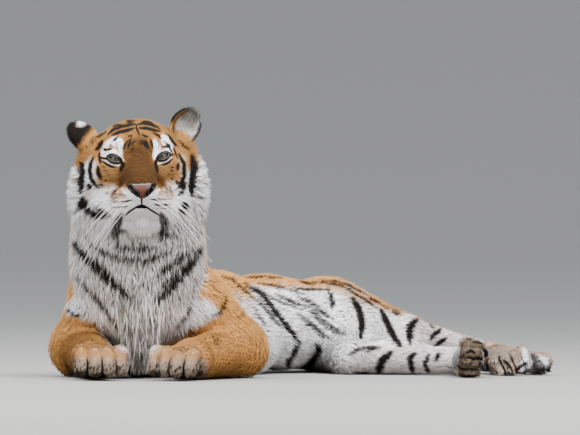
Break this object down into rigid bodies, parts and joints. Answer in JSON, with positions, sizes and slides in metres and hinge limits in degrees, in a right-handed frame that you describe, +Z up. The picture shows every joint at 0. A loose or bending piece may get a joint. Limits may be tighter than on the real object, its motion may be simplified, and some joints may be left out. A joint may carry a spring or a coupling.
{
  "type": "siberian tiger",
  "caption": "Life-size Siberian tigress lying down with chest upright and head raised, forelegs forward, pelvis rolled on one side and hind legs and tail laid out to the side.",
  "frame": {"origin": "middle of the body's footprint, on the floor that the animal lies on", "axes": "+Z up; the face looks along -Y; +X is the animal's own left, the side that the hind legs and the tail are laid out to"},
  "size_m": [1.2047, 1.4446, 0.6369],
  "materials": {
    "coat": "winter fur, orange above and white below, with black stripes",
    "eye": "wet cornea over a pale grey-green iris",
    "bare_skin": "bare leather of the nose and the paw pads"
  },
  "bodies": {
    "root": {"abdomen": "coat", "ear_left": "coat", "ear_right": "coat", "eye_left": "eye", "eye_right": "eye", "forearm_left": "coat", "forearm_right": "coat", "forepaw_left": "coat", "forepaw_right": "coat", "head": "coat", "hind_foot_left": "coat", "hind_foot_right": "coat", "neck": "coat", "pelvis": "coat", "shank_left": "coat", "shank_right": "coat", "tail_base": "coat", "tail_far": "coat", "tail_middle": "coat", "tail_near": "coat", "tail_tip": "coat", "thigh_left": "coat", "thigh_right": "coat", "thorax": "coat", "upper_arm_left": "coat", "upper_arm_right": "coat"}
  },
  "joints": []
}
